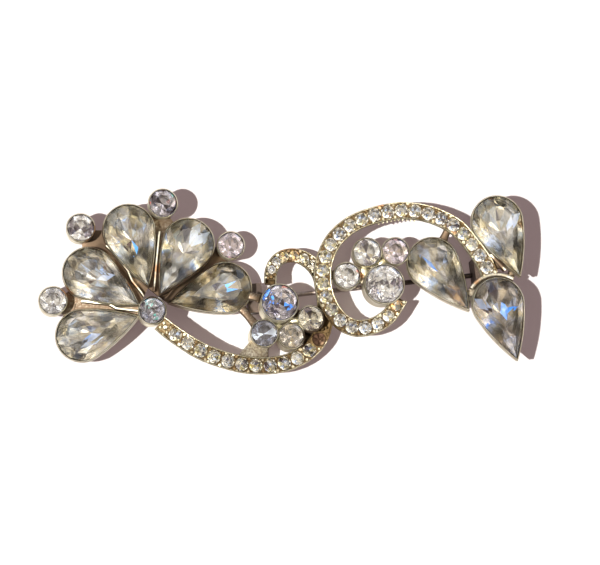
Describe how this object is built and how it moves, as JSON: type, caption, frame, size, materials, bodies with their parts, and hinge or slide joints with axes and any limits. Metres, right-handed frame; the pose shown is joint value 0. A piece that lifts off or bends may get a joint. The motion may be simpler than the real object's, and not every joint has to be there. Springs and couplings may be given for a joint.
{
  "type": "brooch",
  "caption": "Scrolling brooch: a fan of pear-shaped stones at one end, round-stone clusters inside its curls, stone leaves at the other end and a pin behind to fasten it to cloth.",
  "frame": {"origin": "on the surface that the brooch lies on, under the middle of its bounding box", "axes": "+X along the brooch from the fan flower to the leaves, +Y up in the picture, +Z out of the brooch's face"},
  "size_m": [0.0763, 0.0291, 0.0101],
  "materials": {
    "plated_metal": "worn pale gold plate, bright on the rims and tarnished brown in the corners",
    "pin_metal": "dull plated wire and blocks",
    "pear_stones": "clear cut glass with an aged foil back, olive grey",
    "round_stones": "clear cut glass with a silver foil back",
    "small_stones": "clear cut glass with a silver foil back"
  },
  "bodies": {
    "root": {"setting": "plated_metal", "pin_back": "pin_metal", "pave_left": "small_stones", "pave_right": "small_stones", "petal_lower_left": "pear_stones", "petal_left": "pear_stones", "petal_upper_left": "pear_stones", "petal_upper_right": "pear_stones", "petal_right": "pear_stones", "leaf_inner": "pear_stones", "leaf_upper": "pear_stones", "leaf_lower": "pear_stones", "flower_heart": "round_stones", "flower_top": "round_stones", "flower_upper_left": "round_stones", "flower_left": "round_stones", "flower_right": "round_stones", "left_big": "round_stones", "left_lower": "round_stones", "left_middle": "round_stones", "left_inner": "round_stones", "right_big": "round_stones", "right_inner": "round_stones", "right_upper": "round_stones", "right_outer": "round_stones"}
  },
  "joints": []
}
